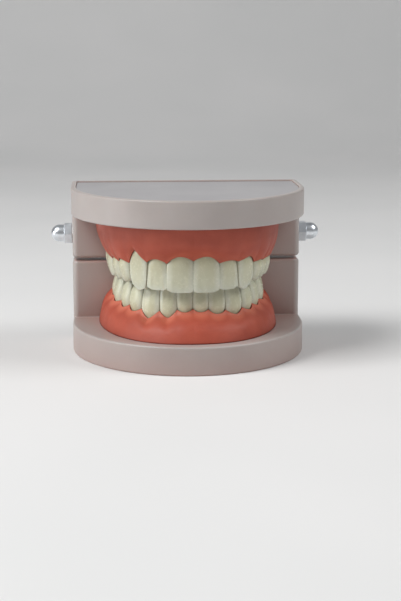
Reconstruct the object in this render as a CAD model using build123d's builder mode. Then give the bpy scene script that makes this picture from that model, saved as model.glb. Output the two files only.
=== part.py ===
"""Hinged dental study model (typodont): two D-shaped casings that open like a jaw.

Each casing is a D-shaped plate with a raised rim, an inset cover and half of the rear wall. It
carries a horseshoe of soft gum with fourteen separate teeth pushed into it. The two casings turn
on one threaded pin with a cap nut at each end; a tongue on the lower wall fills a slot in the
upper wall, and three screws from inside each plate hold its gum.

Frame, in millimetres: the origin is the centre of the footprint on the table, X runs to the
model's left (a viewer's right), the front teeth face -Y, and Z is up. Rest pose: teeth closed.
"""

import math
import os
from dataclasses import dataclass

from build123d import *

# ---- driving dimensions ----
half_width = 42.4          # of both plates and of the rear wall
depth = 66.0               # from the back face to the front of the D
height = 60.0              # overall, closed
straight_side = 20.0       # side length before the front curve starts
lower_plate = 10.1         # plate thicknesses
upper_plate = 9.8
wall_thickness = 13.0      # of the rear wall, front to back
split_z = 32.0             # middle of the gap between the two rear walls
split_gap = 1.0
corner_radius = 2.0        # upright back corners
edge_radius = 0.6          # plate edges
wall_edge_radius = 1.2     # edges along the gap between the two walls

# plate interior
rim_width = 1.7            # raised rim around the inset cover
rim_height = 0.5           # how far the cover lies below the rim
cover_thickness = 2.0
cover_gap = 0.1
ledge_width = 2.3          # ledge that the cover rests on
floor_thickness = 2.5

# hinge
pin_radius = 2.0           # M4 stud
pin_back = 6.0             # pin axis in front of the back face
pin_z = 41.0
running_gap = 0.05         # radial, pin in its bores
tongue_half_width = 18.0
tongue_radius = 5.0        # rounded top of the tongue, about the pin
tongue_gap = 0.3           # around the tongue in its slot
wall_round = 8.5           # rear lower corner of the upper wall, about the pin
slot_headroom = 6.3        # slot ceiling above the pin: lets the upper casing open 100 degrees
nut_flats = 7.0            # M4 cap nut
nut_hex_height = 3.2
nut_height = 8.0
nut_dome_radius = 3.2
nut_bevel = 0.3
pin_in_nut = 5.0           # length of pin inside each nut
nut_end_gap = 0.5          # left between the pin's end and the bottom of its hole
pin_bevel = 0.4

# gum screws
screw_radius = 1.4
screw_gap = 0.05
screw_head_radius = 2.7
screw_head_height = 1.8
screw_reach = 4.8          # length inside the gum
screw_end_gap = 0.3        # hole left past the end of each screw
screw_slot = 0.8           # width and depth of the driver slot
front_screw_offset = 4.8   # front screw ahead of the tooth row

# gums and teeth
gum_back_gap = 0.3         # gum to rear wall
palate_thickness = 2.5     # gum left above the vault of the palate
row_power = 2.6            # squareness of both tooth rows
papilla_height = 1.8       # gum between teeth, past the gum line in front of them
scallop_share = 0.8        # width of each scallop, as a share of its tooth
tooth_gap = 0.07           # clearance to the next tooth, per side
socket_gap = 0.05
belly_level = 0.6          # widest level of a crown, as a share of its height
neck_share = 0.78          # width of a tooth at its neck, as a share of its full width
root_share = 0.5           # size of a root's tip, as a share of the tooth
tooth_rounding = 0.42      # corner radius of a tooth's sections, as a share of their smaller side
bite_radius = 0.45         # softening of the biting edges
fissure_radius = 2.4       # grooves across the back teeth
fissure_depth = 0.9
smallest_grinding_depth = 4.0
smallest_molar_width = 7.0

back_y = depth / 2
wall_front_y = back_y - wall_thickness
pin_y = back_y - pin_back
upper_plate_z = height - upper_plate
arch_center_y = back_y - 16.0


@dataclass
class Tooth:
    """One kind of tooth: its size and the height of its biting edge when the model is closed."""

    name: str
    width: float           # along the row
    neck_depth: float      # across the row, at the gum line
    edge_width: float      # biting edge, as a share of the width
    edge_depth: float      # across the row, at the biting edge
    edge_z: float
    lean: float            # how far the biting edge stands outside the neck
    taper: float           # degrees by which each side closes in towards the tongue


@dataclass
class Jaw:
    """The tooth row and gum of one jaw. up is +1 where teeth point up, -1 where they point down."""

    name: str
    up: int
    plate_z: float         # face of the plate that carries the gum
    row_half_width: float  # centre line of the tooth row
    row_reach: float       # from the arch centre to its front
    neck_front_z: float    # gum line at the front teeth and at the back
    neck_back_z: float
    root_length: float
    gum_outside: list      # (z, half width, reach, squareness) of two levels
    gum_inside: list       # the same for the tongue space or palate
    teeth: list

    @property
    def front_y(self):
        """Depth of the tooth row's foremost point."""
        return arch_center_y - self.row_reach


upper_jaw = Jaw(
    "upper", -1, upper_plate_z, 24.8, 37.2, 39.3, 36.6, 7.0,
    [(upper_plate_z, 34.0, 46.0, 2.0), (33.0, 31.3, 41.6, 2.3)],
    [(upper_plate_z - palate_thickness, 11.0, 21.0, 2.2), (33.0, 19.2, 33.4, 2.5)],
    [
        Tooth("central_incisor", 8.5, 6.6, 0.94, 1.9, 27.0, 1.7, 5),
        Tooth("lateral_incisor", 6.7, 5.8, 0.88, 1.8, 27.7, 1.5, 7),
        Tooth("canine", 7.3, 7.0, 0.35, 2.2, 27.4, 1.6, 11),
        Tooth("first_premolar", 6.3, 8.4, 0.75, 6.0, 29.2, 0.2, 8),
        Tooth("second_premolar", 6.0, 8.6, 0.8, 6.2, 29.2, 0.0, 5),
        Tooth("first_molar", 8.8, 10.2, 0.88, 8.4, 29.2, 0.0, 4),
        Tooth("second_molar", 7.8, 10.0, 0.86, 8.2, 29.2, 0.0, 2),
    ],
)
lower_jaw = Jaw(
    "lower", 1, lower_plate, 23.0, 34.2, 18.3, 20.0, 5.0,
    [(lower_plate, 33.0, 46.0, 2.0), (24.0, 28.4, 38.4, 2.3)],
    [(lower_plate - 1, 15.5, 28.3, 2.3), (24.0, 17.9, 30.8, 2.5)],
    [
        Tooth("central_incisor", 5.2, 5.6, 0.94, 1.6, 29.7, 0.3, 5),
        Tooth("lateral_incisor", 5.6, 5.9, 0.92, 1.6, 29.7, 0.3, 8),
        Tooth("canine", 6.5, 6.3, 0.35, 2.0, 30.0, 0.2, 12),
        Tooth("first_premolar", 6.3, 6.8, 0.75, 4.4, 28.8, -0.3, 10),
        Tooth("second_premolar", 6.3, 7.6, 0.8, 5.4, 28.8, -0.2, 6),
        Tooth("first_molar", 9.0, 9.4, 0.9, 7.8, 28.8, 0.0, 4),
        Tooth("second_molar", 8.3, 9.2, 0.88, 7.6, 28.8, 0.0, 2),
    ],
)


# ---- shared outlines ----
def plate_outline(inset=0.0):
    """D-shaped plate outline: straight back and sides, half-elliptical front, rounded back corners."""
    side = half_width - inset
    curve_y = back_y - straight_side
    reach = depth - straight_side - inset
    with BuildSketch() as outline:
        with BuildLine():
            Line((side, curve_y), (side, back_y - inset))
            Line((side, back_y - inset), (-side, back_y - inset))
            Line((-side, back_y - inset), (-side, curve_y))
            EllipticalCenterArc((0, curve_y), side, reach, start_angle=180, arc_size=180)
        make_face()
        corners = outline.vertices().group_by(Axis.Y)[-1]
        fillet(corners, corner_radius / 2 if inset else corner_radius)
    return outline.sketch


def row_curve(half_width, reach, power, steps):
    """Points of a half superellipse, from its +X end round the front to its -X end."""
    points = []
    for i in range(steps + 1):
        angle = math.pi * i / steps
        across = max(math.sin(angle), 0.0)
        x = half_width * math.copysign(abs(math.cos(angle)) ** (2 / power), math.cos(angle))
        points.append((x, arch_center_y - reach * across ** (2 / power)))
    return points


# ---- places along the tooth rows ----
def row_point(jaw, distance):
    """Point on the +X half of a tooth row's centre line, at a distance from the midline."""
    steps = 2000
    points = row_curve(jaw.row_half_width, jaw.row_reach, row_power, steps)[steps // 2 :: -1]
    points.append((jaw.row_half_width, back_y))
    travelled = 0.0
    for (x0, y0), (x1, y1) in zip(points, points[1:]):
        step = math.hypot(x1 - x0, y1 - y0)
        if travelled + step >= distance:
            share = (distance - travelled) / step
            return Vector(x0 + share * (x1 - x0), y0 + share * (y1 - y0))
        travelled += step
    raise ValueError("the tooth row is shorter than its teeth")


def neck_z(jaw, y):
    """Height of the gum line at depth y: it rises or falls evenly from front to back."""
    share = (y - jaw.front_y) / (wall_front_y - jaw.front_y)
    return jaw.neck_front_z + share * (jaw.neck_back_z - jaw.neck_front_z)


def tooth_places(jaw):
    """(tooth, side, plane) of each tooth: origin at its neck, Y facing out, Z to its biting edge."""
    places = []
    start = 0.0
    for tooth in jaw.teeth:
        inner = row_point(jaw, start)
        outer = row_point(jaw, start + tooth.width)
        center = (inner + outer) / 2
        along = (outer - inner).normalized()
        for side, sign in (("left", 1), ("right", -1)):
            facing = Vector(sign * along.Y, -along.X)
            upward = Vector(0, 0, jaw.up)
            origin = Vector(sign * center.X, center.Y, neck_z(jaw, center.Y))
            places.append((tooth, side, Plane(origin, x_dir=facing.cross(upward), z_dir=upward)))
        start += tooth.width
    return places


def screw_places(jaw):
    """Where the gum screws stand: one in front, and one between the two molars on each side."""
    molars_meet = row_point(jaw, sum(tooth.width for tooth in jaw.teeth[:-1]))
    return [
        (0, jaw.front_y - front_screw_offset),
        (molars_meet.X, molars_meet.Y),
        (-molars_meet.X, molars_meet.Y),
    ]


# ---- casings ----
def hollow_plate(jaw, rim_z, thickness):
    """Plate from its rim face at rim_z to its gum face, open under the rim for the cover."""
    inward = jaw.up
    with BuildPart() as plate:
        with BuildSketch(Plane.XY.offset(rim_z)):
            add(plate_outline())
        extrude(amount=inward * thickness)
        fillet(plate.edges().filter_by(Axis.Z, reverse=True), edge_radius)
        # room for the cover, then the open inside
        with BuildSketch(Plane.XY.offset(rim_z)):
            add(plate_outline(rim_width))
        extrude(amount=inward * (rim_height + cover_thickness), mode=Mode.SUBTRACT)
        with BuildSketch(Plane.XY.offset(rim_z)):
            add(plate_outline(rim_width + ledge_width))
        extrude(amount=inward * (thickness - floor_thickness), mode=Mode.SUBTRACT)
        # clearance holes for the gum screws
        with BuildSketch(Plane.XY.offset(rim_z)):
            with Locations(*screw_places(jaw)):
                Circle(screw_radius + screw_gap)
        extrude(amount=inward * thickness, mode=Mode.SUBTRACT)
    return plate.part


def inset_cover(jaw, rim_z):
    """Flat cover lying just inside the rim of a plate."""
    with BuildPart() as cover:
        with BuildSketch(Plane.XY.offset(rim_z + jaw.up * rim_height)):
            add(plate_outline(rim_width + cover_gap))
        extrude(amount=jaw.up * cover_thickness)
    return cover


def pin_circle(radius):
    """Circle about the hinge pin axis, for a sketch seen from the side."""
    with BuildSketch() as circle:
        with Locations((pin_y, pin_z)):
            Circle(radius)
    return circle.sketch


def save(piece, label):
    """Write one finished piece under its name."""
    piece.part.label = label
    export_step(piece.part, f"parts/{label}.step")


os.makedirs("parts", exist_ok=True)

with BuildPart() as lower_base:
    # half of the rear wall, rounded all over except where it grows out of the plate
    wall_top = split_z - split_gap / 2
    wall_root = lower_plate - floor_thickness
    with BuildSketch(Plane.XY.offset(wall_root)):
        with Locations((0, (wall_front_y + back_y) / 2)):
            Rectangle(2 * half_width, wall_thickness)
    extrude(amount=wall_top - wall_root)
    fillet(lower_base.edges().filter_by(Axis.Z), corner_radius)
    fillet(lower_base.faces().sort_by(Axis.Z)[-1].edges(), wall_edge_radius)
    add(hollow_plate(lower_jaw, 0, lower_plate))
    # hinge tongue, rounded about the pin
    with BuildSketch(Plane.YZ):
        add(pin_circle(tongue_radius))
        with Locations((pin_y, (pin_z + wall_top) / 2 - wall_edge_radius)):
            Rectangle(2 * tongue_radius, pin_z - wall_top + 2 * wall_edge_radius)
    extrude(amount=tongue_half_width, both=True)
    with BuildSketch(Plane.YZ):
        add(pin_circle(pin_radius + running_gap))
    extrude(amount=half_width, both=True, mode=Mode.SUBTRACT)
save(lower_base, "lower_base")

with BuildPart() as upper_base:
    # other half of the rear wall, its rear lower corner rounded about the pin to clear when opening
    wall_bottom = split_z + split_gap / 2
    wall_root = upper_plate_z + floor_thickness
    round_start = pin_z - math.sqrt(wall_round**2 - pin_back**2)
    with BuildSketch(Plane.YZ):
        with BuildLine():
            Polyline((back_y, round_start), (back_y, wall_root), (wall_front_y, wall_root),
                     (wall_front_y, wall_bottom), (pin_y, wall_bottom))
            ThreePointArc((pin_y, wall_bottom), (pin_y + wall_round * math.sin(math.radians(20)),
                          pin_z - wall_round * math.cos(math.radians(20))), (back_y, round_start))
        make_face()
    extrude(amount=half_width, both=True)
    fillet(upper_base.edges().filter_by(Axis.Z), corner_radius)
    bottom_edges = upper_base.edges().filter_by(Axis.X).group_by(Axis.Z)[0]
    fillet(bottom_edges.sort_by(Axis.Y)[0], wall_edge_radius)
    add(hollow_plate(upper_jaw, height, upper_plate))
    # slot for the tongue, open to the rear and below
    slot_front = pin_y - tongue_radius - tongue_gap
    with BuildSketch(Plane.YZ):
        with Locations((slot_front, 0)):
            Rectangle(2 * wall_thickness, pin_z + slot_headroom, align=(Align.MIN, Align.MIN))
    extrude(amount=tongue_half_width + tongue_gap, both=True, mode=Mode.SUBTRACT)
    with BuildSketch(Plane.YZ):
        add(pin_circle(pin_radius + running_gap))
    extrude(amount=half_width, both=True, mode=Mode.SUBTRACT)
save(upper_base, "upper_base")

save(inset_cover(lower_jaw, 0), "lower_cover")
save(inset_cover(upper_jaw, height), "upper_cover")


# ---- hinge hardware ----
def cap_nut(side):
    """M4 cap nut against one end of the upper wall; side is +1 or -1 along X."""
    seat = Plane((side * half_width, pin_y, pin_z), x_dir=(0, 1, 0), z_dir=(side, 0, 0))
    with BuildPart() as nut:
        with BuildSketch(seat):
            RegularPolygon(nut_flats / 2, 6, major_radius=False)
        extrude(amount=nut_hex_height)
        chamfer(nut.edges().filter_by(Axis.X, reverse=True), nut_bevel)
        # domed end
        dome_center = nut_height - nut_dome_radius
        with BuildSketch(seat):
            Circle(nut_dome_radius)
        extrude(amount=dome_center)
        with Locations(seat.offset(dome_center)):
            Sphere(nut_dome_radius)
        # blind hole for the pin
        with BuildSketch(seat):
            Circle(pin_radius + running_gap)
        extrude(amount=pin_in_nut + nut_end_gap, mode=Mode.SUBTRACT)
    return nut


with BuildPart() as hinge_pin:
    with BuildSketch(Plane.YZ):
        add(pin_circle(pin_radius))
    extrude(amount=half_width + pin_in_nut, both=True)
    chamfer(hinge_pin.edges().filter_by(GeomType.CIRCLE), pin_bevel)
save(hinge_pin, "hinge_pin")

save(cap_nut(1), "left_cap_nut")
save(cap_nut(-1), "right_cap_nut")


# ---- teeth ----
def tooth_body(jaw, tooth, plane, grow=0.0):
    """Root and crown of one tooth, lofted from root tip to biting edge; grow widens it all round."""
    crown = abs(tooth.edge_z - plane.origin.Z)
    full_width = tooth.width - 2 * tooth_gap
    belly_depth = tooth.neck_depth + belly_level**2 * (tooth.edge_depth - tooth.neck_depth)
    sections = [
        (-jaw.root_length, root_share * full_width, root_share * tooth.neck_depth, 0),
        (0, neck_share * full_width, tooth.neck_depth, 0),
        (belly_level * crown, full_width, belly_depth, belly_level * tooth.lean),
        (crown, tooth.edge_width * full_width, tooth.edge_depth, tooth.lean),
    ]
    with BuildPart() as body:
        for level, width, across, shift in sections:
            narrow_side = width - 2 * across * math.tan(math.radians(tooth.taper))
            with BuildSketch(plane.offset(level)) as section:
                with Locations((0, shift)):
                    Trapezoid(width + 2 * grow, across + 2 * grow, 90 - tooth.taper, rotation=180)
                fillet(section.vertices(), tooth_rounding * min(narrow_side, across) + grow)
        loft()
    return body


def finished_tooth(jaw, tooth, plane):
    """Tooth with a softened biting edge, and with fissures if it is a back tooth."""
    crown = abs(tooth.edge_z - plane.origin.Z)
    bite = plane.offset(crown)
    with BuildPart() as body:
        add(tooth_body(jaw, tooth, plane))
        fillet(body.faces().sort_by(Axis(bite.origin, bite.z_dir))[-1].edges(), bite_radius)
        directions = []
        if tooth.edge_depth > smallest_grinding_depth:
            directions.append((bite.x_dir, bite.y_dir))
        if tooth.width > smallest_molar_width:
            directions.append((bite.y_dir, bite.x_dir))
        for along, across in directions:
            groove_center = bite.offset(fissure_radius - fissure_depth).origin
            with BuildSketch(Plane(groove_center, x_dir=across, z_dir=along)):
                Circle(fissure_radius)
            extrude(amount=tooth.width + tooth.neck_depth, both=True, mode=Mode.SUBTRACT)
    return body


# ---- gums ----
def gum_outline(half_width, reach, power, end_y):
    """Area inside one level of a gum: rounded front, straight sides back to end_y."""
    with BuildSketch() as outline:
        with BuildLine():
            curve = Spline(*row_curve(half_width, reach, power, 12), tangents=[(0, -1), (0, 1)])
            Polyline(curve @ 1, (-half_width, end_y), (half_width, end_y), curve @ 0)
        make_face()
    return outline.sketch


def lofted_outline(levels, end_y):
    """Solid between gum outlines given as (z, half width, reach, squareness)."""
    with BuildPart() as block:
        for z, half_span, reach, power in levels:
            with BuildSketch(Plane.XY.offset(z)):
                add(gum_outline(half_span, reach, power, end_y))
        loft()
    return block.part


def gum(jaw):
    """Horseshoe of gum with scalloped edges, a socket for each tooth and pilot holes for its screws."""
    end_y = wall_front_y - gum_back_gap
    tip_line = Vector(0, wall_front_y - jaw.front_y, jaw.neck_back_z - jaw.neck_front_z)
    tips = Plane(
        (0, jaw.front_y, jaw.neck_front_z + jaw.up * papilla_height),
        x_dir=(1, 0, 0),
        z_dir=Vector(1, 0, 0).cross(tip_line) * jaw.up,
    )
    with BuildPart() as body:
        add(lofted_outline(jaw.gum_outside, end_y))
        add(lofted_outline(jaw.gum_inside, end_y + 1), mode=Mode.SUBTRACT)
        split(bisect_by=tips, keep=Keep.BOTTOM)
        # scallops: the gum line dips to each tooth's neck and rises between the teeth
        for tooth, _, plane in tooth_places(jaw):
            dip = Plane(plane.offset(papilla_height).origin, x_dir=plane.x_dir, z_dir=plane.y_dir)
            with BuildSketch(dip):
                Ellipse(scallop_share * tooth.width / 2, papilla_height)
            extrude(amount=tooth.neck_depth, both=True, mode=Mode.SUBTRACT)
        for tooth, _, plane in tooth_places(jaw):
            add(tooth_body(jaw, tooth, plane, grow=socket_gap), mode=Mode.SUBTRACT)
        with BuildSketch(Plane.XY.offset(jaw.plate_z)):
            with Locations(*screw_places(jaw)):
                Circle(screw_radius + screw_gap)
        extrude(amount=jaw.up * (screw_reach + screw_end_gap), mode=Mode.SUBTRACT)
    return body


def gum_screws(jaw):
    """The three screws of one jaw, heads inside the plate, as separate solids."""
    seat_z = jaw.plate_z - jaw.up * floor_thickness
    with BuildPart() as screws:
        with BuildSketch(Plane.XY.offset(seat_z)):
            with Locations(*screw_places(jaw)):
                Circle(screw_head_radius)
        extrude(amount=-jaw.up * screw_head_height)
        fillet(screws.faces().sort_by(Axis.Z, reverse=jaw.up > 0)[-3:].edges(), screw_head_height / 3)
        with BuildSketch(Plane.XY.offset(seat_z - jaw.up * screw_head_height)):
            with Locations(*screw_places(jaw)):
                Rectangle(2 * screw_head_radius, screw_slot)
        extrude(amount=jaw.up * screw_slot, mode=Mode.SUBTRACT)
        with BuildSketch(Plane.XY.offset(seat_z)):
            with Locations(*screw_places(jaw)):
                Circle(screw_radius)
        extrude(amount=jaw.up * (floor_thickness + screw_reach))
    return screws


for jaw in (upper_jaw, lower_jaw):
    save(gum(jaw), f"{jaw.name}_gum")
    save(gum_screws(jaw), f"{jaw.name}_gum_screws")
    for tooth, side, plane in tooth_places(jaw):
        save(finished_tooth(jaw, tooth, plane), f"{jaw.name}_{side}_{tooth.name}")
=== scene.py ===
"""Looks of the hinged study model: natural tooth and gum shapes, materials, light and camera.

Everything is placed in the CAD frame: metres, X to a viewer's right, front teeth facing -Y, Z up.
Shapes are worked out in millimetres and scaled when a mesh is made. The casings, covers, cap nuts,
pin and screws are the CAD's own; teeth and gums are modelled here in their CAD places.
"""

import math

import bmesh
import bpy
import numpy as np
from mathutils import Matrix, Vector


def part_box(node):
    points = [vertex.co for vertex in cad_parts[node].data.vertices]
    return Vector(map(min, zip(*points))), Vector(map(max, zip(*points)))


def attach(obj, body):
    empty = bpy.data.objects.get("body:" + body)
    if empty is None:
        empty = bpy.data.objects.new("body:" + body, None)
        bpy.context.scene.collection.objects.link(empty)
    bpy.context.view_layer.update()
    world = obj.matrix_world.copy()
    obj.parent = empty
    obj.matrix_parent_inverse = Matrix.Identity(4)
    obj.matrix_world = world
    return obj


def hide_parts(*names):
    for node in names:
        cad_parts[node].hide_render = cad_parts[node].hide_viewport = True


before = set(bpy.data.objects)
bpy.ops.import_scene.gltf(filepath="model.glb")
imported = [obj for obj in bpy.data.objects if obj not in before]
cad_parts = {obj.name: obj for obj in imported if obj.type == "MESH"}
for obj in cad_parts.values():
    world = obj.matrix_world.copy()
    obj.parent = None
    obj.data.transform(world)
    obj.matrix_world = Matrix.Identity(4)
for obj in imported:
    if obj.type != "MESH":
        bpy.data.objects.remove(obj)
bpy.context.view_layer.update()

MM = 0.001
SIDES = (-1, 1)            # the model's right (-X) and left (+X)
ROW_POWER = 2.6            # squareness of the arch that a tooth row follows
STRAIGHT_LENGTH = 16.0     # of a row behind its curved part, up to the back of the base

# ---- places taken from the CAD, in millimetres ----
BACK_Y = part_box("lower_base")[1].y / MM
GUM_END_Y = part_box("lower_gum")[1].y / MM
ARCH_CENTER_Y = BACK_Y - STRAIGHT_LENGTH


# ---- curves ----
def arch_point(half_width, reach, power, angle, straight):
    """Half of a superellipse arch on the +X side: angle 0 is the front, then straight back."""
    sin = np.clip(np.sin(angle), 0, 1) ** (2 / power)
    cos = np.clip(np.cos(angle), 0, 1) ** (2 / power)
    return half_width * sin, ARCH_CENTER_Y - reach * cos + straight


def smoothstep(x, low, high):
    """0 below low, 1 above high and an even slope between."""
    t = np.clip((x - low) / (high - low), 0, 1)
    return t * t * (3 - 2 * t)


def curve_value(curve, t):
    """Smooth value through the knots of a curve (cubic, slopes from neighbouring knots)."""
    knots = np.array(curve, float)
    x, y = knots[:, 0], knots[:, 1]
    slope = np.gradient(y, x)
    i = np.clip(np.searchsorted(x, t) - 1, 0, len(x) - 2)
    h = x[i + 1] - x[i]
    u = np.clip((t - x[i]) / h, 0, 1)
    return (
        (1 + 2 * u) * (1 - u) ** 2 * y[i]
        + u * (1 - u) ** 2 * h * slope[i]
        + u * u * (3 - 2 * u) * y[i + 1]
        + u * u * (u - 1) * h * slope[i + 1]
    )


def soft_distance(x, y, rounding):
    """Distance from the origin, with its point rounded off."""
    return np.sqrt(x**2 + y**2 + rounding**2) - rounding


# ---- teeth and jaws ----
class Tooth:
    """Size of one kind of tooth. Depths are measured from the row's centre line.

    necks are the gum line's heights on the model's right and left sides, and arches say how round
    (2 and more) or pointed (near 1) the gum line is over the tooth on each side.
    """

    def __init__(self, name, kind, width, necks, facial, lingual, edge_facial, edge_lingual,
                 arches=(2.0, 2.0)):
        self.name = name
        self.kind = kind
        self.width = width
        self.necks = dict(zip(SIDES, necks))
        self.arches = dict(zip(SIDES, arches))
        self.facial = facial
        self.lingual = lingual
        self.edge_facial = edge_facial
        self.edge_lingual = edge_lingual

    @property
    def grinds(self):
        return self.kind in ("premolar", "molar")


class Jaw:
    """A tooth row and its gum. up is +1 where teeth point up and -1 where they point down.

    gum has the arches (half width, reach, power) that the gum follows at the plate and inside, the
    height of the pad behind the last tooth, and the gum's heights at the sides of the teeth, from
    the midline back.
    """

    def __init__(self, name, up, half_width, reach, teeth, gum):
        self.name = name
        self.body = f"{name}_jaw"
        self.up = up
        self.half_width = half_width
        self.reach = reach
        self.teeth = teeth
        self.gum = gum
        self.tabulate_row()
        self.place_teeth()

    def tabulate_row(self):
        """Arc length, curve angle and straight length behind the curve, along half of the row."""
        angle = np.linspace(0, math.pi / 2, 3000)
        x, y = arch_point(self.half_width, self.reach, ROW_POWER, angle, 0 * angle)
        length = np.concatenate([[0], np.cumsum(np.hypot(np.diff(x), np.diff(y)))])
        self.table_s = np.append(length, length[-1] + STRAIGHT_LENGTH)
        self.table_angle = np.append(angle, angle[-1])
        self.table_straight = np.append(0 * length, STRAIGHT_LENGTH)

    def place_teeth(self):
        """Where each tooth starts along the row, and the chords that the teeth stand on."""
        starts = np.cumsum([0] + [tooth.width for tooth in self.teeth])
        self.starts = starts[:-1]
        self.row_end = starts[-1]
        chords = np.diff(self.point(starts), axis=0)
        self.chord_lengths = np.hypot(chords[:, 0], chords[:, 1])
        headings = np.arctan2(chords[:, 1], chords[:, 0])
        headings = np.concatenate([[-headings[0]], headings, headings[-1:]])
        # how far each side of a tooth leans from square, so that neighbours meet in one plane
        self.side_slopes = np.tan(np.diff(headings) / 2)

    def stations(self, s):
        """Curve angle and straight length for distances s (0 or more) from the midline."""
        angle = np.interp(s, self.table_s, self.table_angle)
        straight = np.interp(s, self.table_s, self.table_straight)
        return angle, straight

    def point(self, s):
        """Point on the centre line; negative s is the model's right side (-X)."""
        s = np.asarray(s, float)
        angle, straight = self.stations(np.abs(s))
        x, y = arch_point(self.half_width, self.reach, ROW_POWER, angle, straight)
        return np.stack([np.where(s < 0, -x, x), y], -1)

    def outward(self, s, span=0.8):
        """Unit direction out of the row, towards lips and cheeks, level over a short span."""
        along = self.point(s + span) - self.point(s - span)
        along /= np.linalg.norm(along, axis=-1, keepdims=True)
        return np.stack([along[..., 1], -along[..., 0]], -1)


# In both rows, from the midline back: name, kind, width, gum line's heights, depths at the neck,
# depths at the biting edge and, where it isn't plainly round, how round the gum line is.
UPPER = Jaw(
    "upper", -1, 24.8, 37.2,
    [
        Tooth("central_incisor", "incisor", 8.5, (39.7, 39.7), 3.3, 3.3, 2.75, -1.75),
        Tooth("lateral_incisor", "incisor", 6.7, (38.6, 37.9), 2.9, 2.9, 2.5, -1.55),
        Tooth("canine", "canine", 7.3, (41.2, 38.6), 3.7, 3.5, 2.75, -1.2, (1.2, 1.6)),
        Tooth("first_premolar", "premolar", 6.3, (37.2, 36.6), 4.3, 4.2, 3.0, 3.0),
        Tooth("second_premolar", "premolar", 6.0, (36.9, 36.3), 4.4, 4.3, 3.1, 3.2),
        Tooth("first_molar", "molar", 8.8, (37.2, 36.0), 5.1, 5.1, 4.1, 4.0),
        Tooth("second_molar", "molar", 7.8, (37.2, 35.8), 5.0, 5.0, 4.0, 3.9),
    ],
    {"plate": (34.0, 46.0, 2.0), "inside": (11.0, 21.0, 2.2), "pad_z": 34.6,
     "between_z": (38.0, 37.0, 37.0, 35.9, 35.3, 35.1, 34.7, 34.3)},
)
LOWER = Jaw(
    "lower", 1, 23.0, 34.2,
    [
        Tooth("central_incisor", "incisor", 5.2, (19.7, 19.7), 2.8, 2.8, 1.1, 0.35),
        Tooth("lateral_incisor", "incisor", 5.6, (17.7, 18.9), 2.9, 2.9, 1.1, 0.35, (1.5, 2.3)),
        Tooth("canine", "canine", 6.5, (17.0, 18.2), 3.3, 3.1, 1.3, 0.6, (1.3, 1.6)),
        Tooth("first_premolar", "premolar", 6.3, (18.7, 18.8), 3.5, 3.3, 1.9, 2.5),
        Tooth("second_premolar", "premolar", 6.3, (19.0, 19.1), 3.8, 3.7, 2.3, 2.8),
        Tooth("first_molar", "molar", 9.0, (19.6, 19.7), 4.7, 4.7, 3.6, 3.9),
        Tooth("second_molar", "molar", 8.3, (20.2, 20.2), 4.6, 4.6, 3.5, 3.8),
    ],
    {"plate": (32.8, 45.7, 2.25), "inside": (15.5, 28.3, 2.3), "pad_z": 23.6,
     "between_z": (20.8, 20.5, 20.0, 20.0, 20.3, 20.7, 21.2, 21.7)},
)


# ---- mesh making ----
def make_object(name, points, faces, jaw, replaced):
    """Closed smooth mesh from millimetre points, riding on its jaw in place of a CAD node."""
    mesh = bpy.data.meshes.new(name)
    mesh.from_pydata([tuple(p) for p in np.asarray(points) * MM], [], faces)
    cleaner = bmesh.new()
    cleaner.from_mesh(mesh)
    bmesh.ops.recalc_face_normals(cleaner, faces=cleaner.faces)
    cleaner.to_mesh(mesh)
    cleaner.free()
    mesh.polygons.foreach_set("use_smooth", [True] * len(mesh.polygons))
    piece = bpy.data.objects.new(name, mesh)
    bpy.context.scene.collection.objects.link(piece)
    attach(piece, jaw.body)
    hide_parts(replaced)
    return piece


def add_attribute(piece, name, values):
    """Per-vertex number that a material can read."""
    attribute = piece.data.attributes.new(name, "FLOAT", "POINT")
    attribute.data.foreach_set("value", np.asarray(values, np.float32))


# ---- crowns ----
RING_POINTS = 56
ROOT_LENGTH = 4.5
LOWEST_SHARE = -0.4        # where the profiles below start; the root goes on straight from there
TOOTH_GAP = 0.01
OVERLAP = 0.8              # how far upper canines and outer cusps close past the CAD's flat tops
TOP_SCALES = (0.9, 0.78, 0.65, 0.52, 0.4, 0.28, 0.16, 0.06)    # of the rings over a biting surface
EDGE_SWELL = 0.12          # how far the middle of a front tooth's biting edge stands up

# front teeth
CORNER_DROPS = (0.4, 0.7)  # rounding of an incisor's corners nearer and further from the midline
CORNER_SHARES = {"upper": 1.0, "lower": 0.5}
LOBE_HEIGHT = 0.05         # of the three faint lobes along an incisor's edge
RIB_HEIGHT = 0.07          # of the three faint ribs on a front tooth's outer face
TIP_SHIFT = 0.08           # of a canine's tip towards the midline, as a share of its width
TIP_SLOPES = (0.42, 0.55)  # of a canine's edge on both sides of its tip
TIP_ROUNDING = 0.5

# back teeth: cusps and ridges are rounded cones, placed by shares of the biting surface
CUSP_SPREAD = 0.3          # from the middle of the depth out to the cusps, as a share of the depth
CUSP_ROUNDING = 0.35
CUSP_SHARPNESS = 2.2       # of the valleys between cones
CUSP_SINK = 0.12           # takes back what the blending of cones adds
PREMOLAR_SLOPE = 0.62
PREMOLAR_INNER_PLACE = 0.05
PREMOLAR_INNER_DROPS = {"upper": 0.35, "lower": 1.1}
MOLAR_SLOPE = 0.58
MOLAR_CUSPS = (-0.45, 0.42)    # from the middle of the width, as shares of half of it
RIDGE_PLACE = 0.72         # the same for the ridges at the sides towards the neighbours
RIDGE_SPREAD = 0.18
RIDGE_DROP = 0.95
RIDGE_SLOPE = 0.8
GROOVE_DEPTH = 0.4         # of the groove in a molar's outer face
GROOVE_WIDTH = 0.16        # as a share of half of the molar's width

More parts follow.
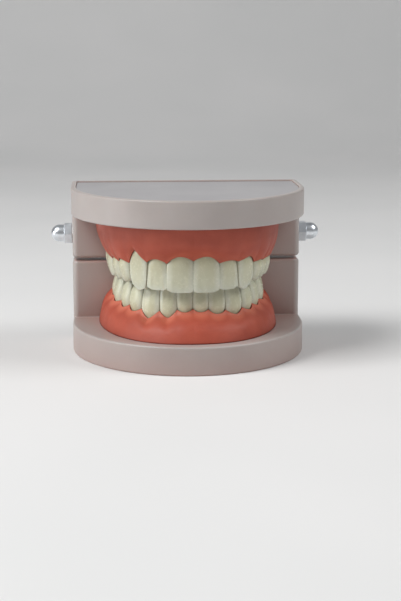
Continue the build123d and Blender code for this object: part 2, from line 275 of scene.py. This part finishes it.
# share of the crown height, then share of width there; below zero is the root
PROFILES = {
    "incisor": ((-0.4, 0.6), (-0.2, 0.84), (-0.05, 0.98), (0.05, 1.0), (0.85, 1.0), (0.93, 0.995),
                (0.97, 0.98), (1.0, 0.95)),
    "canine": ((-0.4, 0.6), (-0.2, 0.84), (-0.05, 0.98), (0.05, 1.0), (0.7, 1.0), (0.85, 0.94),
               (0.95, 0.82), (1.0, 0.72)),
    "premolar": ((-0.4, 0.64), (-0.15, 0.83), (0, 0.92), (0.12, 0.965), (0.3, 0.99), (0.5, 1.0),
                 (0.78, 0.985), (0.9, 0.93), (0.97, 0.86), (1.0, 0.79)),
    "molar": ((-0.4, 0.7), (-0.15, 0.84), (0, 0.91), (0.12, 0.95), (0.3, 0.99), (0.5, 1.0),
              (0.8, 0.99), (0.92, 0.95), (0.98, 0.89), (1.0, 0.84)),
}
# squareness of the outline at the neck and at the biting edge, and how far past its sides it is
# stretched before they are cut flat, where neighbouring teeth touch
OUTLINES = {
    "incisor": (1.7, 2.3, 1.2),
    "canine": (1.7, 2.2, 1.25),
    "premolar": (1.9, 2.4, 1.2),
    "molar": (2.5, 3.0, 1.06),
}
# share of the crown height, then share of the way from the neck's depth to the biting edge's
FACIAL_CURVE = (
    (-0.4, -0.35), (0, 0.0), (0.15, -0.22), (0.4, -0.1), (0.7, 0.35), (0.9, 0.72), (1.0, 1.0),
)
LINGUAL_CURVE = (
    (-0.4, 0.2), (0, 0.0), (0.15, 0.0), (0.35, 0.25), (0.6, 0.62), (0.85, 0.92), (1.0, 1.0),
)
GRINDING_CURVE = (
    (-0.4, 0.55), (0, 0.0), (0.2, -0.28), (0.45, -0.3), (0.7, 0.1), (0.88, 0.5), (1.0, 1.0),
)


def incisor_height(tooth, jaw, crown, x):
    """Biting edge with rounded corners, the outer one more so, and three faint lobes."""
    half = tooth.width / 2
    inner = smoothstep(-x / half, 0.62, 1.1)
    outer = smoothstep(x / half, 0.45, 1.1)
    rounding = CORNER_SHARES[jaw.name] * (CORNER_DROPS[0] * inner + CORNER_DROPS[1] * outer)
    return crown - rounding + LOBE_HEIGHT * np.cos(3 * math.pi * x / half)


def canine_height(tooth, crown, x):
    """One cusp with its tip nearer the midline, steeper on the side away from it."""
    tip = -TIP_SHIFT * tooth.width
    slope = np.where(x < tip, *TIP_SLOPES)
    return crown - slope * soft_distance(x - tip, 0, TIP_ROUNDING)


def grinding_cones(tooth, jaw, crown, overlap):
    """Cusps on the outer and inner sides and ridges at both ends, as (x, y, height, slope)."""
    half = tooth.width / 2
    depth = tooth.edge_facial + tooth.edge_lingual
    middle = (tooth.edge_facial - tooth.edge_lingual) / 2
    buccal = middle + CUSP_SPREAD * depth
    lingual = middle - CUSP_SPREAD * depth
    if tooth.kind == "premolar":
        inner_top = crown - PREMOLAR_INNER_DROPS[jaw.name]
        cones = [
            (0, buccal, crown + overlap, PREMOLAR_SLOPE),
            (PREMOLAR_INNER_PLACE * half, lingual, inner_top, PREMOLAR_SLOPE),
        ]
    else:
        # the cusps get lower towards the back and the inner side
        front, back = MOLAR_CUSPS
        cones = [
            (front * half, buccal, crown + overlap - 0.05, MOLAR_SLOPE),
            (back * half, buccal, crown + overlap - 0.2, MOLAR_SLOPE),
            (front * half, lingual, crown - 0.2, MOLAR_SLOPE),
            (back * half, lingual, crown - 0.35, MOLAR_SLOPE),
        ]
    for side in SIDES:
        for share in (-RIDGE_SPREAD, 0, RIDGE_SPREAD):
            place = (side * RIDGE_PLACE * half, middle + share * depth)
            cones.append((*place, crown - RIDGE_DROP, RIDGE_SLOPE))
    return cones


def grinding_height(cones, x, y):
    """Soft maximum of rounded cones."""
    total = np.zeros_like(x)
    for tip_x, tip_y, height, slope in cones:
        fall = slope * soft_distance(x - tip_x, y - tip_y, CUSP_ROUNDING)
        total += np.exp(CUSP_SHARPNESS * (height - fall))
    return np.log(total) / CUSP_SHARPNESS - CUSP_SINK


def crown_height(tooth, jaw, crown, x, y):
    """Height of the biting surface above the neck at (x, y); x runs away from the midline."""
    overlap = OVERLAP if jaw.up < 0 else 0.0
    if tooth.kind == "incisor":
        return incisor_height(tooth, jaw, crown, x)
    if tooth.kind == "canine":
        return canine_height(tooth, crown + overlap, x)
    return grinding_height(grinding_cones(tooth, jaw, crown, overlap), x, y)


def crown_ring(tooth, half_width, slopes, t):
    """Outline of a tooth at share t of its crown height, as local x and y.

    Its sides are flat where it touches its neighbours. slopes are those of the sides towards and
    away from the midline.
    """
    theta = np.linspace(0, 2 * math.pi, RING_POINTS, endpoint=False)
    neck_squareness, edge_squareness, stretch = OUTLINES[tooth.kind]
    squareness = neck_squareness + (edge_squareness - neck_squareness) * smoothstep(t, -0.1, 0.65)
    cos = np.sign(np.cos(theta)) * np.abs(np.cos(theta)) ** (2 / squareness)
    sin = np.sign(np.sin(theta)) * np.abs(np.sin(theta)) ** (2 / squareness)
    half = half_width * curve_value(PROFILES[tooth.kind], t)
    facial_share = curve_value(GRINDING_CURVE if tooth.grinds else FACIAL_CURVE, t)
    lingual_share = curve_value(GRINDING_CURVE if tooth.grinds else LINGUAL_CURVE, t)
    facial = tooth.facial + facial_share * (tooth.edge_facial - tooth.facial)
    lingual = tooth.lingual + lingual_share * (tooth.edge_lingual - tooth.lingual)
    y = (facial - lingual) / 2 + (facial + lingual) / 2 * sin
    side = np.clip(stretch * cos, -1, 1)
    slope = np.where(side < 0, slopes[0], slopes[1])
    return side * (half + slope * y), y


def surface_detail(tooth, t, x, y):
    """How far the outer face stands out: ribs on front teeth, a groove on molars."""
    half = tooth.width / 2
    facing = smoothstep(y - np.mean(y), 0.0, 1.0)
    if tooth.kind == "premolar":
        return 0 * x
    if tooth.kind == "molar":
        groove = np.exp(-((x / (GROOVE_WIDTH * half)) ** 2)) * smoothstep(t, 0.45, 0.95)
        return -GROOVE_DEPTH * facing * groove
    ribs = np.cos(3 * math.pi * x / half) * smoothstep(t, 0.25, 0.7)
    return RIB_HEIGHT * facing * ribs


def tooth_levels(crown):
    """Heights at which rings are taken, as shares of the crown: closer together at the edges."""
    root = np.linspace(-ROOT_LENGTH / crown, 0, 6)[:-1]
    return np.concatenate([root, np.linspace(0, 0.85, 17), [0.9, 0.935, 0.965, 0.985, 1.0]])


def tooth_rings(tooth, jaw, crown, half_width, slopes):
    """Rings of local points from root to biting edge, then smaller ones over the biting surface."""
    rings = []
    for t in tooth_levels(crown):
        x, y = crown_ring(tooth, half_width, slopes, max(t, LOWEST_SHARE))
        y = y + surface_detail(tooth, t, x, y)
        height = crown_height(tooth, jaw, crown, x, y) if t > 0 else np.full_like(x, crown)
        rings.append(np.stack([x, y, t * height], -1))
    edge = rings[-1][:, :2]
    center = edge.mean(axis=0)
    for scale in TOP_SCALES:
        xy = center + (edge - center) * scale
        z = crown_height(tooth, jaw, crown, xy[:, 0], xy[:, 1])
        if not tooth.grinds:
            z = z + EDGE_SWELL * (1 - scale**2)
        rings.append(np.concatenate([xy, z[:, None]], 1))
    return rings


def ring_faces(count):
    """Faces between neighbouring rings of points, and one over each end."""
    faces = []
    for low in range(0, (count - 1) * RING_POINTS, RING_POINTS):
        high = low + RING_POINTS
        for j in range(RING_POINTS):
            k = (j + 1) % RING_POINTS
            faces.append((low + j, low + k, high + k, high + j))
    faces.append(tuple(range(RING_POINTS)))
    faces.append(tuple((count - 1) * RING_POINTS + j for j in range(RING_POINTS)))
    return faces


def build_tooth(jaw, index, side):
    """One tooth of a side, standing on its chord of the row at its CAD height."""
    tooth = jaw.teeth[index]
    start = jaw.starts[index]
    node = f"{jaw.name}_{'left' if side > 0 else 'right'}_{tooth.name}"
    low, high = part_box(node)
    edge_z = (high.z if jaw.up > 0 else low.z) / MM
    neck_z = tooth.necks[side]
    crown = abs(edge_z - neck_z)
    half_width = jaw.chord_lengths[index] / 2 - TOOTH_GAP
    rings = tooth_rings(tooth, jaw, crown, half_width, jaw.side_slopes[index : index + 2])
    local = np.concatenate(rings)
    inner, outer = jaw.point([start, start + tooth.width])
    along = (outer - inner) / np.linalg.norm(outer - inner)
    facing = np.array([along[1], -along[0]])
    xy = (inner + outer) / 2 + local[:, :1] * along + local[:, 1:2] * facing
    points = np.stack([side * xy[:, 0], xy[:, 1], neck_z + jaw.up * local[:, 2]], -1)
    faces = ring_faces(len(rings))
    piece = make_object(f"{node}_crown", points, faces, jaw, node)
    add_attribute(piece, "crown_share", np.clip(local[:, 2] / crown, 0, 1))
    add_attribute(piece, "side_share", np.clip(np.abs(local[:, 0]) / half_width, 0, 1))
    return piece


# ---- gums ----
GUM_STEP = 0.3
PALATE_THICKNESS = 2.5
MARGIN_THICKNESS = 0.55    # of the gum's edge outside a tooth
PAD_THICKENING = 0.35      # more of it behind the last tooth
MARGIN_ROLL = 0.22         # how far the gum swells out just below its edge
MARGIN_PALENESS = {"lower": 1.0, "upper": 0.3}
BETWEEN_SHARE = 0.66       # the gum's reach between teeth, as a share of the teeth's depth there
SHOULDER_DROP = 0.55       # from the gum's edge to where its rolled edge starts
SOCKET_INSET = 0.75        # from the gum's faces to the rim of the socket
SOCKET_DROP = 0.15         # from the gum's edge to the rim of the socket
BETWEEN_DEPTH = 0.1        # of the socket between teeth
MIDDLE_DEPTH = 0.2         # what the middle of a tooth adds to it
STRAIGHT_FROM = 0.5        # behind the end of the row, where the gum turns straight back
PAD_START = -0.2           # where the pad begins and is full, from the end of the tooth row
PAD_FULL = 2.2
PAD_RISE = 0.7             # of its middle over its edges
FACE_FULLNESS = 0.75       # how full the outer face is between plate and edge
OUTER_ROOTS = 0.3          # swelling over the roots on the outer and inner faces
INNER_ROOTS = 0.35
ROOT_BALANCE = 0.55        # how much of that is taken away between teeth instead of added over them
OUTER_LEVELS = np.linspace(0, 1, 20)
INNER_LEVELS = np.linspace(0, 1, 16)
PALE_LEVELS = (0.78, 1.0)  # where the faces fade to the paler edge
EDGE_ROLL = ((0.04, 0.33), (0.14, 0.13), (0.3, 0.01), (0.48, 0.04))    # way in and drop, over it
SOCKET_SHARES = (0.0, 0.15, 0.35, 0.5, 0.65, 0.85, 1.0)
EVENING = 18               # stations over which the scallops are evened out below the edge
ROOF_STEPS = 14
ROOF_RISE = 0.6            # of the palate's middle over the sides of its patch


def evened(values):
    """Values along the row with the ups and downs of single teeth evened out."""
    window = np.hanning(2 * EVENING + 1)
    padded = np.pad(values, EVENING, mode="reflect")
    return np.convolve(padded, window / window.sum(), mode="valid")


def line_of_points(xy, z):
    """Points from places in the plane and their heights."""
    return np.concatenate([xy, z[:, None]], 1)


class GumSide:
    """One side's gum at distances s (0 or more) from the midline, as if it were the model's left.

    Its cross-sections run from the plate up the outer face, over the edge, through the socket and
    down the inner face.
    """

    def __init__(self, jaw, s, side):
        self.jaw = jaw
        self.up = jaw.up
        low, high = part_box(f"{jaw.name}_gum")
        self.plate_z = (low.z if jaw.up > 0 else high.z) / MM
        self.inside_z = self.plate_z if jaw.up > 0 else self.plate_z - PALATE_THICKNESS
        angle, straight = jaw.stations(s)
        self.plate_xy = np.stack(arch_point(*jaw.gum["plate"], angle, straight), -1)
        self.inside_xy = np.stack(arch_point(*jaw.gum["inside"], angle, straight), -1)
        self.center = jaw.point(s)
        behind_row = s[:, None] > jaw.row_end + STRAIGHT_FROM
        self.outward = np.where(behind_row, [[1.0, 0.0]], jaw.outward(s))
        self.pad = smoothstep(s, jaw.row_end + PAD_START, jaw.row_end + PAD_FULL)
        self.fit_teeth(s, side)
        self.shoulder_z = self.edge_z - self.up * SHOULDER_DROP

    def fit_teeth(self, s, side):
        """Height of the gum's edge and how far out and in it reaches, from the teeth along s."""
        teeth = self.jaw.teeth
        widths = np.array([tooth.width for tooth in teeth])
        facial = np.array([tooth.facial for tooth in teeth])
        lingual = np.array([tooth.lingual for tooth in teeth])
        starts = self.jaw.starts
        mids = starts + widths / 2
        index = np.clip(np.searchsorted(starts, s, side="right") - 1, 0, len(teeth) - 1)
        # 0 at the middle of each tooth and 1 where it meets its neighbour
        across = np.clip(np.abs(s - mids[index]) / (widths[index] / 2), 0, 1)
        self.tooth_share = 1 - across**2
        necks = np.array([tooth.necks[side] for tooth in teeth])[index]
        arches = np.array([tooth.arches[side] for tooth in teeth])[index]
        between_z = np.array(self.jaw.gum["between_z"])[index + (s > mids[index])]
        edge_z = necks + (between_z - necks) * across**arches
        self.edge_z = edge_z + (self.jaw.gum["pad_z"] - edge_z) * self.pad
        # the edge hugs each tooth and draws in between two
        hug = 1 - across**2.4
        between_out = BETWEEN_SHARE * np.interp(s, mids, facial)
        between_in = BETWEEN_SHARE * np.interp(s, mids, lingual)
        thickness = MARGIN_THICKNESS + PAD_THICKENING * self.pad
        self.outer = between_out + (facial[index] - between_out) * hug + thickness
        self.inner = -(between_in + (lingual[index] - between_in) * hug + thickness)

    def near(self, distance):
        """Points at distances out of the row's centre line."""
        return self.center + self.outward * distance[:, None]

    def roots(self, height):
        """Swelling over the roots, and the hollows between them, for a height of their waves."""
        return (self.tooth_share - ROOT_BALANCE) * (1 - self.pad) * height

    def outer_face(self):
        """From the plate to the rolled edge."""
        even_reach = evened(self.outer)
        height = self.shoulder_z - self.plate_z
        over_even = height / (evened(self.shoulder_z) - self.plate_z)
        lines = []
        for q in OUTER_LEVELS:
            # it leans in evenly at first and more near the edge, where it also follows the scallops
            level = np.minimum(q * over_even, 1)
            lean = 0.55 * level + 0.45 * level**5
            lean = (lean + (1 - lean) * q**7)[:, None]
            reach = even_reach + (self.outer - even_reach) * q**4
            xy = self.plate_xy + (self.near(reach) - self.plate_xy) * lean
            fullness = FACE_FULLNESS * q * (1 - q**3)
            roots = self.roots(OUTER_ROOTS * smoothstep(q, 0.15, 0.8) * (1 - 0.5 * q))
            tuck = 0.6 * smoothstep(q, 0.93, 1.0)
            roll = MARGIN_ROLL * (smoothstep(q, 0.7, 0.9) - tuck) * (1 - self.pad)
            xy = xy + self.outward * (fullness + roots + roll)[:, None]
            lines.append(line_of_points(xy, self.plate_z + height * q))
        return lines

    def socket(self):
        """Down into the socket, across it and up to the inner edge."""
        depth = BETWEEN_DEPTH + MIDDLE_DEPTH * self.tooth_share
        sunk = depth * (1 - self.pad) - PAD_RISE * self.pad
        lines = []
        for share in SOCKET_SHARES:
            width = self.inner - self.outer + 2 * SOCKET_INSET
            xy = self.near(self.outer - SOCKET_INSET + width * share)
            bowl = 1 - (2 * share - 1) ** 2
            drop = SOCKET_DROP + sunk * (0.55 + 0.45 * bowl)
            lines.append(line_of_points(xy, self.edge_z - self.up * drop))
        return lines

    def inner_face(self):
        """Down to the plate, or up the vault of the palate."""
        lines = []
        for q in INNER_LEVELS:
            lean = 0.6 * q + 0.4 * q**2 if self.up > 0 else q**1.5
            xy = self.near(self.inner)
            xy = xy + (self.inside_xy - xy) * lean
            roots = self.roots(INNER_ROOTS * smoothstep(1 - q, 0.3, 1.0) * (1 - q))
            xy = xy - self.outward * roots[:, None]
            climb = q if self.up > 0 else 1 - (1 - q) ** 1.3
            z = self.shoulder_z + (self.inside_z - self.shoulder_z) * climb
            lines.append(line_of_points(xy, z))
        return lines

    def sections(self):
        """All cross-sections, as an array of stations by points round the section."""
        lines = self.outer_face()
        for offset, drop in EDGE_ROLL:
            xy = self.near(self.outer - offset)
            lines.append(line_of_points(xy, self.edge_z - self.up * drop))
        lines += self.socket()
        for offset, drop in EDGE_ROLL[::-1]:
            xy = self.near(self.inner + offset)
            lines.append(line_of_points(xy, self.edge_z - self.up * drop))
        return np.stack(lines + self.inner_face(), 1)


def margin_shares():
    """For the points of one section of gum: 1 at its edges, fading to 0 away from them."""
    return np.concatenate([
        smoothstep(OUTER_LEVELS, *PALE_LEVELS),
        np.ones(len(EDGE_ROLL)),
        np.zeros(len(SOCKET_SHARES)),
        np.ones(len(EDGE_ROLL)),
        smoothstep(1 - INNER_LEVELS, *PALE_LEVELS),
    ])


def palate_roof(rim, rim_index, first_new):
    """Patch between the two sides of the vault's rim: new points, faces and the row at its back."""
    middle = len(rim) // 2
    extra = []
    lines = []
    for k in range(middle):
        opposite = len(rim) - 1 - k
        line = [rim_index[k]]
        for j in range(1, ROOF_STEPS):
            share = j / ROOF_STEPS
            rise = np.array([0, 0, ROOF_RISE * (1 - (2 * share - 1) ** 2)])
            line.append(first_new + len(extra))
            extra.append(rim[k] + (rim[opposite] - rim[k]) * share + rise)
        line.append(rim_index[opposite])
        lines.append(line)
    faces = []
    for line, next_line in zip(lines, lines[1:]):
        for j in range(ROOF_STEPS):
            faces.append((line[j], line[j + 1], next_line[j + 1], next_line[j]))
    for j in range(ROOF_STEPS):
        faces.append((lines[-1][j], lines[-1][j + 1], rim_index[middle]))
    return np.array(extra), faces, lines[0][1:-1]


def build_gum(jaw):
    """Gum swept along the row: scalloped edges round every tooth and a pad behind the molars."""
    end = jaw.table_s[-1] - (BACK_Y - GUM_END_Y)
    stations = np.linspace(0, end, int(end / GUM_STEP))
    right = GumSide(jaw, stations, -1).sections()[:0:-1] * np.array([-1, 1, 1])
    grid = np.concatenate([right, GumSide(jaw, stations, 1).sections()])
    columns, rows = grid.shape[:2]
    points = grid.reshape(-1, 3)
    index = np.arange(columns * rows).reshape(columns, rows).tolist()
    faces = []
    for here, there in zip(index, index[1:]):
        for r in range(rows - 1):
            faces.append((here[r], here[r + 1], there[r + 1], there[r]))
    if jaw.up > 0:
        # the foot of the horseshoe and its two ends
        for here, there in zip(index, index[1:]):
            faces.append((here[-1], here[0], there[0], there[-1]))
        faces.append(tuple(index[0]))
        faces.append(tuple(index[-1]))
    else:
        # roof of the palate, then the plate side and the back
        rim_index = [column[-1] for column in index]
        extra, roof_faces, back_row = palate_roof(grid[:, -1], rim_index, len(points))
        points = np.concatenate([points, extra])
        faces += roof_faces
        faces.append(tuple(column[0] for column in index))
        faces.append(tuple(index[0] + back_row + index[-1][::-1]))
    node = f"{jaw.name}_gum"
    piece = make_object(f"{node}_tissue", points, faces, jaw, node)
    shares = np.zeros(len(points))
    shares[: columns * rows] = np.tile(margin_shares(), columns)
    add_attribute(piece, "margin_share", MARGIN_PALENESS[jaw.name] * shares)
    return piece


# ---- materials ----
NOISE_RANGE = (0.3, 0.7)       # where most of a noise's values lie
EDGE_ALIGNMENT = (0.98, 0.80)  # of a bevelled and a true normal, from a flat face to an edge


def new_material(name):
    """Node material with a Principled shader: returns the material, its tree and the shader."""
    material = bpy.data.materials.new(name)
    material.use_nodes = True
    tree = material.node_tree
    return material, tree, tree.nodes["Principled BSDF"]


def feed(tree, socket, value):
    """Link an output to an input socket, or set the input to a plain value."""
    if isinstance(value, bpy.types.NodeSocket):
        tree.links.new(value, socket)
    else:
        socket.default_value = value


def add_node(tree, kind, settings=None, **inputs):
    """Node with attributes set from settings and inputs set by name (underscores for spaces)."""
    node = tree.nodes.new(kind)
    for key, value in (settings or {}).items():
        setattr(node, key, value)
    for key, value in inputs.items():
        feed(tree, node.inputs[key.replace("_", " ")], value)
    return node


def srgb(red, green, blue):
    """Linear colour from 0-255 display values."""
    channels = []
    for value in (red, green, blue):
        value /= 255
        channels.append(value / 12.92 if value <= 0.04045 else ((value + 0.055) / 1.055) ** 2.4)
    return (*channels, 1.0)


def noise(tree, scale, detail=2.0):
    """Noise fixed to the piece, with features about 1/scale metres across."""
    place = add_node(tree, "ShaderNodeTexCoord").outputs["Object"]
    node = add_node(tree, "ShaderNodeTexNoise", Vector=place, Scale=scale, Detail=detail)
    return node.outputs["Fac"]


def read_attribute(tree, name):
    """Number that add_attribute gave to the mesh."""
    return add_node(tree, "ShaderNodeAttribute", {"attribute_name": name}).outputs["Fac"]


def ramp(tree, value, stops):
    """Colour ramp through (position, colour) stops."""
    node = add_node(tree, "ShaderNodeValToRGB", Fac=value)
    elements = node.color_ramp.elements
    while len(elements) < len(stops):
        elements.new(0.5)
    for element, (position, color) in zip(elements, stops):
        element.position = position
        element.color = color
    return node.outputs["Color"]


def mottled(tree, value, first, second):
    """Colour that drifts between two by a noise's value."""
    return ramp(tree, value, list(zip(NOISE_RANGE, (first, second))))


def remap(tree, value, source=(0.0, 1.0), target=(0.0, 1.0)):
    """Number carried from the source range to the target range and kept inside it."""
    return add_node(
        tree, "ShaderNodeMapRange", Value=value,
        From_Min=source[0], From_Max=source[1], To_Min=target[0], To_Max=target[1],
    ).outputs["Result"]


def openness(tree, distance, source):
    """0 in hollows within distance, 1 in the open; source is the range of occlusion between. It
    masks the painted shade in hollows.
    """
    occlusion = add_node(tree, "ShaderNodeAmbientOcclusion", {"samples": 8}, Distance=distance)
    return remap(tree, occlusion.outputs["AO"], source)


def edge_share(tree, radius):
    """1 on edges sharper than radius, 0 on flat faces: the mask of the casing's painted edge
    highlight.
    """
    soft = add_node(tree, "ShaderNodeBevel", {"samples": 6}, Radius=radius)
    geometry = add_node(tree, "ShaderNodeNewGeometry")
    facing = add_node(tree, "ShaderNodeVectorMath", {"operation": "DOT_PRODUCT"})
    feed(tree, facing.inputs[0], soft.outputs["Normal"])
    feed(tree, facing.inputs[1], geometry.outputs["True Normal"])
    return remap(tree, facing.outputs["Value"], EDGE_ALIGNMENT)


def mix_colors(tree, share, first, second, blend="MIX"):
    """Second colour over the first by share."""
    node = add_node(tree, "ShaderNodeMix", {"data_type": "RGBA", "blend_type": blend})
    feed(tree, node.inputs[0], share)
    feed(tree, node.inputs[6], first)
    feed(tree, node.inputs[7], second)
    return node.outputs[2]


def bump(tree, height, strength, distance=0.0001):
    """Normal roughened by a height."""
    node = add_node(tree, "ShaderNodeBump", Height=height, Strength=strength, Distance=distance)
    return node.outputs["Normal"]


def set_surface(tree, shader, color, roughness, normal):
    """Connect the three channels that every piece's material has."""
    feed(tree, shader.inputs["Base Color"], color)
    feed(tree, shader.inputs["Roughness"], roughness)
    feed(tree, shader.inputs["Normal"], normal)


def set_scattering(shader, weight, scale, radius=None):
    """Light carried under the surface, scale metres deep; radius is its red, green and blue."""
    shader.inputs["Subsurface Weight"].default_value = weight
    shader.inputs["Subsurface Scale"].default_value = scale
    if radius:
        shader.inputs["Subsurface Radius"].default_value = radius


def casing_material():
    """Moulded pinkish-grey plastic: faint cloudiness, fine texture, painted shade in hollows,
    painted edge highlight.
    """
    material, tree, shader = new_material("casing_plastic")
    clouds = noise(tree, 55, 4)
    grain = noise(tree, 2600)
    color = mottled(tree, clouds, srgb(170, 161, 157), srgb(179, 171, 167))
    # painted shade and warm bounce light: darker, pinker colour in hollows within about 30 mm
    color = mix_colors(tree, openness(tree, 0.03, (0.3, 0.8)), srgb(170, 140, 132), color)
    # painted highlight: paler colour along the rounded edges, where their fillets would catch the
    # light
    color = mix_colors(tree, edge_share(tree, 0.0011), color, srgb(206, 196, 190))
    roughness = remap(tree, clouds, target=(0.3, 0.44))
    set_surface(tree, shader, color, roughness, bump(tree, grain, 0.12))
    set_scattering(shader, 0.06, 0.002)
    return material


def cover_material():
    """Grey sheet with a faint cast and a fine matt texture."""
    material, tree, shader = new_material("cover_sheet")
    grain = noise(tree, 3200)
    color = mottled(tree, noise(tree, 40, 3), srgb(162, 160, 162), srgb(174, 172, 173))
    roughness = remap(tree, grain, target=(0.35, 0.5))
    set_surface(tree, shader, color, roughness, bump(tree, grain, 0.1))
    return material


def gum_material():
    """Soft coral-red gum: paler at its edges, painted shade in the creases, stippled, moist sheen.
    """
    material, tree, shader = new_material("gum_soft")
    stipple = noise(tree, 1500)
    color = mottled(tree, noise(tree, 160, 4), srgb(168, 75, 56), srgb(180, 85, 64))
    paleness = remap(tree, read_attribute(tree, "margin_share"), target=(0.0, 0.6))
    color = mix_colors(tree, paleness, color, srgb(214, 122, 96))
    # painted shade: dark red in creases narrower than about 6 mm
    color = mix_colors(tree, openness(tree, 0.006, (0.25, 0.85)), srgb(112, 36, 26), color)
    roughness = remap(tree, stipple, target=(0.46, 0.6))
    set_surface(tree, shader, color, roughness, bump(tree, stipple, 0.16, 0.0002))
    set_scattering(shader, 0.12, 0.0018, (1.0, 0.35, 0.25))
    shader.inputs["Specular IOR Level"].default_value = 0.4
    return material


def tooth_material():
    """Ivory tooth resin: warm at the neck, pale at sides and biting edge, painted shade in creases.
    """
    material, tree, shader = new_material("tooth_resin")
    fine = noise(tree, 1200)
    color = ramp(tree, read_attribute(tree, "crown_share"), [
        (0.0, srgb(198, 194, 164)), (0.3, srgb(202, 200, 173)),
        (0.8, srgb(205, 205, 182)), (1.0, srgb(205, 208, 192)),
    ])
    paleness = remap(tree, read_attribute(tree, "side_share"), (0.55, 0.95), (0.0, 0.6))
    color = mix_colors(tree, paleness, color, srgb(217, 219, 205))
    tone = mottled(tree, noise(tree, 300), srgb(247, 247, 243), srgb(255, 255, 255))
    color = mix_colors(tree, 1.0, color, tone, "MULTIPLY")
    # painted shade: darker, browner colour in the narrow gaps and creases between teeth
    color = mix_colors(tree, openness(tree, 0.001, (0.15, 0.7)), srgb(176, 168, 140), color)
    roughness = remap(tree, fine, target=(0.2, 0.32))
    set_surface(tree, shader, color, roughness, bump(tree, fine, 0.05))
    set_scattering(shader, 0.2, 0.0012, (1.0, 0.8, 0.55))
    return material


def metal_material(name, color, polish):
    """Plated or plain steel, cloudy in its tone and in its roughness over the range polish."""
    material, tree, shader = new_material(name)
    clouds = noise(tree, 350, 3)
    darker = tuple(0.88 * channel for channel in color[:3]) + (1.0,)
    tone = mottled(tree, clouds, darker, color)
    roughness = remap(tree, clouds, target=polish)
    set_surface(tree, shader, tone, roughness, bump(tree, clouds, 0.02))
    shader.inputs["Metallic"].default_value = 1.0
    return material


def floor_material():
    """Pale paper with a faint cloudiness."""
    material, tree, shader = new_material("floor_paper")
    color = mottled(tree, noise(tree, 6), srgb(226, 226, 225), srgb(232, 231, 230))
    feed(tree, shader.inputs["Base Color"], color)
    shader.inputs["Roughness"].default_value = 0.85
    return material


def dress(piece, material):
    """Give a piece one material in place of any it had."""
    piece.data.materials.clear()
    piece.data.materials.append(material)


# ---- stage, in metres ----
FLOOR_HALF_WIDTH = 3.0
FLOOR_FRONT_Y = -2.0
FLOOR_BACK_Y = 1.2
FLOOR_RISE = 1.4
FLOOR_BEND = 0.5
FLOOR_BEND_STEPS = 12

AIM = (0, 0, 0.03)
LIGHTS = (                 # name, place, size, watts
    ("key_left", (-0.62, -0.33, 0.82), 0.5, 8.5),
    ("fill_right", (0.68, -0.2, 0.75), 0.45, 3.8),
    ("side_left", (-1.0, -0.1, 0.2), 0.4, 2.0),
)
SKY_COLOR = (0.9, 0.92, 0.95, 1)
SKY_STRENGTH = 0.2

CAMERA_PLACE = (-0.02779, -0.48717, 0.11628)
CAMERA_TURN = 0.065        # towards +X, radians
CAMERA_TILT = 0.195        # downwards, radians
CAMERA_LENS = 82.5


def build_floor():
    """Pale floor that sweeps up far behind the object."""
    bend_y = FLOOR_BACK_Y - FLOOR_BEND
    profile = [(FLOOR_FRONT_Y, 0.0), (bend_y, 0.0)]
    for i in range(1, FLOOR_BEND_STEPS + 1):
        angle = math.pi / 2 * i / FLOOR_BEND_STEPS
        y = bend_y + FLOOR_BEND * math.sin(angle)
        profile.append((y, FLOOR_BEND - FLOOR_BEND * math.cos(angle)))
    profile.append((FLOOR_BACK_Y, FLOOR_RISE))
    points = [(side * FLOOR_HALF_WIDTH, y, z) for y, z in profile for side in SIDES]
    faces = [(2 * i, 2 * i + 1, 2 * i + 3, 2 * i + 2) for i in range(len(profile) - 1)]
    mesh = bpy.data.meshes.new("floor")
    mesh.from_pydata(points, [], faces)
    mesh.polygons.foreach_set("use_smooth", [True] * len(mesh.polygons))
    floor = bpy.data.objects.new("floor", mesh)
    bpy.context.scene.collection.objects.link(floor)
    dress(floor, floor_material())


def add_light(name, place, size, power):
    """Square soft light at place, aimed at the object."""
    data = bpy.data.lights.new(name, "AREA")
    data.size = size
    data.energy = power
    light = bpy.data.objects.new(name, data)
    bpy.context.scene.collection.objects.link(light)
    light.location = place
    light.rotation_euler = (Vector(AIM) - Vector(place)).to_track_quat("-Z", "Y").to_euler()


def build_sky():
    """Weak even light from all round."""
    world = bpy.data.worlds.new("studio")
    bpy.context.scene.world = world
    world.use_nodes = True
    sky = world.node_tree.nodes["Background"]
    sky.inputs["Color"].default_value = SKY_COLOR
    sky.inputs["Strength"].default_value = SKY_STRENGTH


def build_camera():
    """Camera in front of the object, a little above it and towards the model's right."""
    data = bpy.data.cameras.new("view")
    data.lens = CAMERA_LENS
    camera = bpy.data.objects.new("view", data)
    bpy.context.scene.collection.objects.link(camera)
    camera.location = CAMERA_PLACE
    camera.rotation_euler = (math.pi / 2 - CAMERA_TILT, 0, -CAMERA_TURN)
    bpy.context.scene.camera = camera


casing = casing_material()
sheet = cover_material()
plated = metal_material("nut_zinc", (0.86, 0.90, 0.94, 1), (0.26, 0.4))
steel = metal_material("plain_steel", (0.55, 0.55, 0.56, 1), (0.25, 0.4))
for node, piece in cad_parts.items():
    if node.endswith("_base"):
        dress(piece, casing)
    elif node.endswith("_cover"):
        dress(piece, sheet)
    elif node.endswith("_cap_nut"):
        dress(piece, plated)
    elif node == "hinge_pin" or node.endswith("_screws"):
        dress(piece, steel)

gum_look = gum_material()
tooth_look = tooth_material()
for jaw in (UPPER, LOWER):
    dress(build_gum(jaw), gum_look)
    for index in range(len(jaw.teeth)):
        for side in SIDES:
            dress(build_tooth(jaw, index, side), tooth_look)

build_floor()
for light_settings in LIGHTS:
    add_light(*light_settings)
build_sky()
build_camera()
bpy.context.scene.view_settings.view_transform = "Standard"
